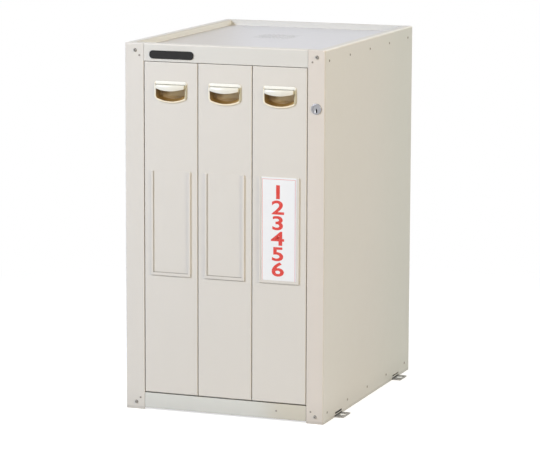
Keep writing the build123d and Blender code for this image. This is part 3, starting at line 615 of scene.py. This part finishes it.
throat_shrink = cup_half / (pull_width / 2 - pull_rim_width)
bpy.ops.transform.resize(value=(throat_shrink, 1, throat_shrink),
                         center_override=(0, throat_y, cup_top))
push(y=cup_y - throat_y)
bpy.ops.transform.resize(value=cup_floor_share, center_override=(0, cup_y, cup_top))
choose(pull, "EDGE", lambda at: near(at.y, cup_y))
bpy.ops.mesh.bevel(offset=cup_round, segments=4)
bpy.ops.object.mode_set(mode="OBJECT")
for finish in (ivory, cup_brown, groove_shade):
    pull.data.materials.append(finish)
for face in pull.data.polygons:
    bow = pull_bow * (2 * face.center.x / pull_width) ** 2
    if (face.center.y > ledge_y + 1e-5
            and abs(face.center.x) < pull_width / 2 - pull_rim_width + 1e-5
            and face.center.z > pull_bottom + bow + rim_foot_width):
        face.material_index = 1 if face.center.z < cup_top + 1e-5 else 2
take_up(pull)
use_modifier(pull, "SOLIDIFY", thickness=pull_wall, offset=-1)

# The hood: a block with its front edge and ends rounded, bulged forward in its middle, with its
# lower edge bowed, then hollowed.
bpy.ops.object.select_all(action="DESELECT")
bpy.ops.mesh.primitive_cube_add(size=1, location=(0, (hood_front_y + front_y) / 2,
                                                  (hood_top + hood_side_edge) / 2))
hood = bpy.context.object
hood.scale = (2 * hood_half, front_y - hood_front_y, hood_top - hood_side_edge)
bpy.ops.object.transform_apply(location=True, rotation=True, scale=True)
choose(hood, "FACE", lambda at, normal: normal.y > 0.9 or normal.z < -0.9)
bpy.ops.mesh.delete(type="FACE")
choose(hood, "EDGE", lambda at: near(at.z, hood_top) and near(at.y, hood_front_y))
bpy.ops.mesh.bevel(offset=hood_round, segments=10)
choose_edges(hood, lambda one, other: near(one.x, other.x) and near(abs(one.x), hood_half)
             and not (near(one.z, hood_side_edge) and near(other.z, hood_side_edge))
             and not (near(one.y, front_y) and near(other.y, front_y)))
bpy.ops.mesh.bevel(offset=hood_end_round, segments=5)
choose_edges(hood, lambda one, other: abs(one.x - other.x) > hood_half)
bpy.ops.mesh.subdivide(number_cuts=bow_cuts)
choose(hood, "VERT", lambda at: True)
bpy.ops.transform.resize(value=(1, hood_end_share, 1), center_override=(0, front_y, 0))
choose(hood, "VERT", lambda at: near(at.z, hood_side_edge, 1e-4))
bpy.ops.mesh.hide(unselected=True)
choose(hood, "VERT", lambda at: near(at.x, 0, 1e-4))
draw_out((0, 0, -hood_bow), hood_half)
bpy.ops.mesh.reveal(select=False)
choose(hood, "VERT", lambda at: near(at.y, front_y))
bpy.ops.mesh.hide(unselected=False)
choose(hood, "VERT", lambda at: near(at.x, 0, 1e-4))
draw_out((0, -hood_bulge, 0), hood_half)
bpy.ops.mesh.reveal(select=False)
bpy.ops.object.mode_set(mode="OBJECT")
hood.data.materials.append(ivory)
take_up(hood)
use_modifier(hood, "SOLIDIFY", thickness=hood_wall, offset=-1)
use_modifier(hood, "BEVEL", width=hood_edge_round, segments=2, limit_method="ANGLE",
             angle_limit=radians(40))
take_up(pull)
use_modifier(pull, "BEVEL", width=pull_edge_round, segments=2, limit_method="ANGLE",
             angle_limit=radians(40))
hood.select_set(True)
bpy.ops.object.join()
bpy.ops.object.shade_smooth_by_angle(angle=radians(35))
for rack, rack_x in rack_places.items():
    take_up(pull)
    bpy.ops.object.duplicate()
    copy = bpy.context.object
    copy.name = f"pull_of_{rack}_rack"
    copy.location.x = rack_x
    bpy.ops.object.transform_apply(location=True, rotation=False, scale=False)
    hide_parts(f"cup_pull_{rack}")
    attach(copy, f"rack_{rack}")
bpy.data.objects.remove(pull, do_unlink=True)

# Label card
# A white card of stiff paper that stands in the right-hand holder, printed with a thin red
# border and plain red numbers one below the other.
card_left = 0.084567
card_right = 0.1669
card_bottom = 0.3006
card_top = 0.5271
card_front_y = -0.3017
card_thickness = 0.0009
card_ink_level = 0.4125
card_edge_round = 0.0002
border_margin = 0.0036
border_width = 0.0010
ink_thickness = 0.00003
number_size = 0.041
number_stretch = 1.45
number_shift = -0.002
ink_proud = 0.00002
card_paper, tree, shader = new_finish("card_paper")
cloud = noise(tree, 18.0)
feed(tree, shader, {"Base Color": two_tone(tree, cloud, (0.86, 0.87, 0.88), (0.91, 0.91, 0.905)),
                    "Roughness": 0.42,
                    "Normal": relief(tree, noise(tree, 700.0, 5.0), 0.2, 0.00003)})


def printing_ink(name, colour):
    """Ink on the card, a little uneven where the paper took less of it."""
    finish, tree, shader = new_finish(name)
    fade = ramp(tree, noise(tree, 420.0, 4.0), 0.45, 0.75)
    paler = tuple(part + 0.1 * (0.9 - part) for part in colour)
    feed(tree, shader, {"Base Color": two_tone(tree, fade, colour, paler), "Roughness": 0.4})
    return finish


red_ink = printing_ink("card_red_ink", (0.72, 0.045, 0.03))
pink_ink = printing_ink("card_border_ink", (0.80, 0.32, 0.29))
card_finishes = (card_paper, pink_ink, red_ink)
card_middle = (card_left + card_right) / 2
card = upright_plate("card", card_middle, card_front_y + card_thickness,
                     (card_bottom + card_top) / 2, card_right - card_left, card_top - card_bottom)
choose(card, "FACE", lambda at, normal: True)
push(y=-card_thickness)
choose(card, "EDGE", lambda at: near(at.y, card_front_y))
bpy.ops.mesh.bevel(offset=card_edge_round, segments=2)
choose(card, "FACE", lambda at, normal: normal.y < -0.999)
bpy.ops.mesh.inset(thickness=border_margin)
bpy.ops.mesh.inset(thickness=border_width)
for finish in card_finishes:
    card.data.materials.append(finish)
bpy.ops.object.mode_set(mode="OBJECT")
border_line = card_edge_round + border_margin + border_width / 2
for face in card.data.polygons:
    from_edge = min(face.center.x - card_left, card_right - face.center.x,
                    face.center.z - card_bottom, card_top - face.center.z)
    on_border = near(from_edge, border_line, border_width / 2)
    face.material_index = int(face.normal.y < -0.999 and on_border)
bpy.ops.object.select_all(action="DESELECT")
bpy.ops.object.text_add(location=(0, 0, 0))
numbers = bpy.context.object
numbers.data.body = "1\n2\n3\n4\n5\n6"
numbers.data.align_x = "CENTER"
numbers.data.size = number_size
numbers.data.space_line = 0.81
numbers.data.offset = 0.0009
numbers.data.extrude = ink_thickness
numbers.data.resolution_u = 6
bpy.ops.object.convert(target="MESH")
numbers = bpy.context.object
numbers.rotation_euler = (radians(90), 0, 0)
numbers.scale = (number_stretch, 1, 1)
bpy.ops.object.transform_apply(location=True, rotation=True, scale=True)
ink_low = min(vertex.co.z for vertex in numbers.data.vertices)
ink_high = max(vertex.co.z for vertex in numbers.data.vertices)
numbers.location = (card_middle + number_shift, card_front_y - ink_proud,
                    card_ink_level - (ink_low + ink_high) / 2)
bpy.ops.object.transform_apply(location=True, rotation=True, scale=True)
numbers.data.materials.clear()
for finish in card_finishes:
    numbers.data.materials.append(finish)
for face in numbers.data.polygons:
    face.material_index = 2
take_up(card)
numbers.select_set(True)
bpy.ops.object.join()
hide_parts("label_card")
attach(card, "rack_right")

# Name plate
# A plate of glossy black moulded plastic on the top rail above the left rack, with a fine raised
# edge and a plain face.
plate_x = rack_places["left"] + 0.0018
plate_z = 0.7767
plate_width = 0.101333
plate_height = 0.0175
plate_corner = 0.0075
plate_front_y = -0.3015
plate_edge_round = 0.0003
plate_edge_width = 0.0006
plate_edge_slope = 0.0004
plate_edge_height = 0.0005
plate_black, tree, shader = new_finish("plate_black")
rub = noise(tree, 90.0, 6.0)
feed(tree, shader, {"Base Color": two_tone(tree, rub, (0.009, 0.009, 0.010), (0.020, 0.019, 0.019)),
                    "Roughness": ramp(tree, rub, 0.0, 1.0, 0.14, 0.34),
                    "Specular IOR Level": 0.35})
plate = upright_plate("plate_blank", plate_x, front_y, plate_z, plate_width, plate_height)
choose(plate, "VERT", lambda at: True)
bpy.ops.mesh.bevel(offset=plate_corner, segments=8, affect="VERTICES")
choose(plate, "FACE", lambda at, normal: True)
push(y=plate_front_y - front_y)
choose(plate, "EDGE", lambda at: near(at.y, plate_front_y))
bpy.ops.mesh.bevel(offset=plate_edge_round, segments=3)
choose(plate, "FACE", lambda at, normal: normal.y < -0.999)
bpy.ops.mesh.inset(thickness=plate_edge_width)
bpy.ops.mesh.inset(thickness=plate_edge_slope)
bpy.ops.transform.translate(value=(0, plate_edge_height, 0))
bpy.ops.object.mode_set(mode="OBJECT")
plate.data.materials.append(plate_black)
take_up(plate)
bpy.ops.object.shade_smooth_by_angle(angle=radians(30))
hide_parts("name_plate")
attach(plate, "cabinet")

# Trays and back plates
# Bottle trays, three to a rack, and the plate that closes each rack at the back, folded from
# thin sheet and powder coated in a cooler grey.
tray_paint = painted("tray_paint", (0.66, 0.65, 0.62), gloss=0.42)
for rack in rack_places:
    dress(tray_paint, f"tray_low_{rack}", f"tray_centre_{rack}", f"tray_high_{rack}",
          f"rack_back_{rack}")

# Slides, guide channels and rods
# Rolled steel slide members and channels and drawn rods, all bright zinc plated.


def plating_group():
    """Shared effect of zinc plating: crystal tone, dull patches and fine rolling lines."""
    group, given = shared_effect("plating", (
        ("Colour", "Color", (0.6, 0.6, 0.6, 1)), ("Grain", "Vector", (1.0, 1.0, 1.0)),
        ("Gloss", "Float", 0.3), ("Patches", "Float", 0.5)))
    stretched = add(group, "VectorMath", {0: here(group), 1: given["Grain"]},
                    operation="MULTIPLY")
    lines = add(group, "TexNoise", {"Vector": stretched, "Scale": 1.0, "Detail": 4.0}, "Fac")
    patch = work_out(group, "SUBTRACT", noise(group, 26.0, 4.0), 0.5)
    amount = work_out(group, "MULTIPLY_ADD", patch, given["Patches"], 1.0)
    shade = add(group, "VectorMath", {0: given["Colour"], "Scale": amount}, operation="SCALE")
    put_out(group, shade, work_out(group, "MULTIPLY_ADD", patch, 0.25, given["Gloss"]), lines)
    return group


plating = plating_group()


def plated(name, colour, grain, gloss=0.3):
    """A plated metal whose fine lines run along the axis with the smallest grain value."""
    return treated(name, plating, 0.4, 0.00002, 1.0,
                   {"Colour": (*colour, 1), "Grain": grain, "Gloss": gloss})


zinc_along = plated("zinc_along", (0.62, 0.63, 0.63), (900.0, 12.0, 900.0))
for rack in rack_places:
    dress(zinc_along, f"slide_outer_{rack}", f"slide_centre_{rack}", f"slide_inner_{rack}",
          f"guard_rods_{rack}")
dress(zinc_along, "guide_channels")

# Top sliders
# Milky nylon blocks, each on the seat at the top of its rack's back plate, that run in the guide
# channels.
nylon = moulded("nylon_white", (0.80, 0.79, 0.74), 0.48)
for rack in rack_places:
    dress(nylon, f"top_slider_{rack}")

# Lock
# A key lock in the right stile: a nickel-plated bezel turned on a lathe, and in it the plug with
# its key slot, which the key turns.
lock_x = 0.20825
lock_z = 0.676
lock_steel, tree, shader = new_finish("lock_nickel")
centre = add(tree, "Mapping", {"Vector": here(tree), "Location": (-lock_x, 0, -lock_z)})
rings = add(tree, "TexWave", {"Vector": centre, "Scale": 900.0, "Distortion": 1.5}, "Fac",
            wave_type="RINGS", rings_direction="Y")
wear = noise(tree, 160.0)
feed(tree, shader, {"Base Color": two_tone(tree, wear, (0.34, 0.34, 0.355), (0.42, 0.42, 0.435)),
                    "Metallic": 1.0, "Roughness": 0.36,
                    "Normal": relief(tree, rings, 0.3, 0.00001)})
# A painted glint on the plug's face just left of the key slot's foot.
key_glint = where_all(beside(across, lock_x - 0.0026, 0.0013, 0.0009),
                        beside(upward, lock_z - 0.0056, 0.0027, 0.0022))
overlay(lock_steel, (0.97, 0.98, 1.0), key_glint)
# Painted shade inside the key slot and on the face beside its foot, in the lower half of the plug.
key_slot = where_all(beside(across, lock_x + 0.0004, 0.0017, 0.0014),
                     beside(upward, lock_z - 0.0045, 0.0035, 0.0030))
tint(lock_steel, (0.03, 0.03, 0.03), key_slot)
dress(lock_steel, "lock_housing", "lock_plug")

# Lock bar, guides, nut and cam
# Pressed and plated steel out of sight behind the right stile and above the racks.
zinc_pressed = plated("zinc_pressed", (0.60, 0.60, 0.58), (300.0, 300.0, 300.0), gloss=0.36)
dress(zinc_pressed, "lock_bar", "bar_guides", "lock_cam", "lock_nut")

# Anchors and their bolts
# Slotted plates of thick zinc-plated steel that stick out at the foot to be bolted down.
anchor_slot_x = 0.2375
anchor_slot_y = 0.2
anchor_slot_length = 0.012
anchor_slot_width = 0.007
bright_edge = 0.0003
bright_end = 0.0008
zinc_thick = plated("zinc_thick", (0.36, 0.345, 0.325), (420.0, 420.0, 420.0), gloss=0.42)


def mirrored(direction, centre, none_at, full_at):
    """A mask between two distances from either of two centres that mirror each other."""
    def mask(tree):
        fold = work_out(tree, "SUBTRACT", away_from(tree, direction, 0), centre)
        return spread(tree, work_out(tree, "ABSOLUTE", fold), none_at, full_at)
    return mask


# What lies behind the side panels is painted near black as shade.
tint(zinc_thick, (0.05, 0.05, 0.05), beside(across, 0, side_x - 0.0003, side_x - 0.0013))
# Painted light: the walls of the bolt slots and their rims are painted pale, for the white floor
# seen through them.
bolt_slot = where_all(mirrored(across, anchor_slot_x, anchor_slot_length / 2 + bright_end,
                               anchor_slot_length / 2 + bright_edge),
                      mirrored(inward, anchor_slot_y, anchor_slot_width / 2 + bright_end,
                               anchor_slot_width / 2 + bright_edge))
overlay(zinc_thick, (0.95, 0.95, 0.93), bolt_slot)
dress(zinc_thick, "anchor_front_left", "anchor_front_right", "anchor_rear_left",
      "anchor_rear_right", "anchor_bolts")

# Screws
# Pan-head screws at the stile corners and up the back, with painted shade in the cross recess.
screw_metal = plated("screw_metal", (0.40, 0.385, 0.355), (800.0, 800.0, 800.0), gloss=0.40)
screw_recess = beside(inward, 0, half_depth + 0.0016, half_depth + 0.0011)
tint(screw_metal, (0.25, 0.24, 0.23), screw_recess)
dress(screw_metal, "case_screws")

# Rivets
# Aluminium blind rivets through the sheet edges, each with a low dome and the hollow that its
# mandrel left. One is modelled at the middle of the front face, then copied to its places.
rivet_head = 0.003
small_rivet_head = 0.0022
rivet_height = 0.0008
rivet_hollow = 0.0012
rivet_shank = 0.0016
rivet_edge_round = 0.0005
rivet_hollow_depth = 0.0006
rivet_shank_length = 0.0026
side_row_start = -0.275
side_row_step = 0.135
corner_rivets = [(x, z) for x in (-0.1938, 0.1988) for z in (0.026, 0.774)]
rail_rivet = [(0.121, 0.022)]
side_rivets = [(side, side_row_start + side_row_step * place, z) for side in (-1, 1)
               for place in range(5) for z in (0.022, 0.776)]
rivet_metal = plated("rivet_metal", (0.40, 0.365, 0.320), (800.0, 800.0, 800.0), gloss=0.42)
# The mandrel hollow is painted near black as shade.
hollow_shade = moulded("rivet_hollow", (0.05, 0.045, 0.040), 0.60)
bpy.ops.object.select_all(action="DESELECT")
bpy.ops.mesh.primitive_cylinder_add(vertices=24, radius=rivet_head, depth=rivet_height,
                                    location=(0, -rivet_height / 2, 0),
                                    rotation=(radians(90), 0, 0))
rivet = bpy.context.object
rivet.name = "rivet"
bpy.ops.object.transform_apply(location=True, rotation=True, scale=True)
choose(rivet, "EDGE", lambda at: near(at.y, -rivet_height))
bpy.ops.mesh.bevel(offset=rivet_edge_round, segments=4)
choose(rivet, "FACE", lambda at, normal: normal.y < -0.999)
bpy.ops.mesh.inset(thickness=rivet_head - rivet_edge_round - rivet_hollow)
push(y=rivet_hollow_depth)
choose(rivet, "FACE", lambda at, normal: normal.y > 0.999 and near(at.y, 0))
bpy.ops.mesh.inset(thickness=rivet_head - rivet_shank)
push(y=rivet_shank_length)
bpy.ops.object.mode_set(mode="OBJECT")
rivet.data.materials.append(rivet_metal)
rivet.data.materials.append(hollow_shade)
for face in rivet.data.polygons:
    from_axis = Vector((face.center.x, face.center.z)).length
    face.material_index = int(from_axis < rivet_hollow + 1e-5 and -rivet_height + 1e-5
                              < face.center.y < 0)
take_up(rivet)
bpy.ops.object.shade_smooth_by_angle(angle=radians(40))


def set_rivet(place, turn, size):
    """Copy the rivet to a place, turned about the upright axis and scaled."""
    take_up(rivet)
    bpy.ops.object.duplicate()
    copy = bpy.context.object
    copy.rotation_euler = (0, 0, radians(turn))
    copy.scale = (size, 1, size)
    copy.location = place
    bpy.ops.object.transform_apply(location=True, rotation=True, scale=True)
    return copy


small = small_rivet_head / rivet_head
set_rivets = [set_rivet((x, front_y, z), 0, small) for x, z in corner_rivets + rail_rivet]
set_rivets += [set_rivet((side * side_x, y, z), 90 * side, 1) for side, y, z in side_rivets]
bpy.data.objects.remove(rivet, do_unlink=True)
take_up(set_rivets[0])
for copy in set_rivets:
    copy.select_set(True)
bpy.ops.object.join()
all_rivets = bpy.context.object
all_rivets.name = "blind_rivets"
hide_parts("rivets")
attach(all_rivets, "cabinet")
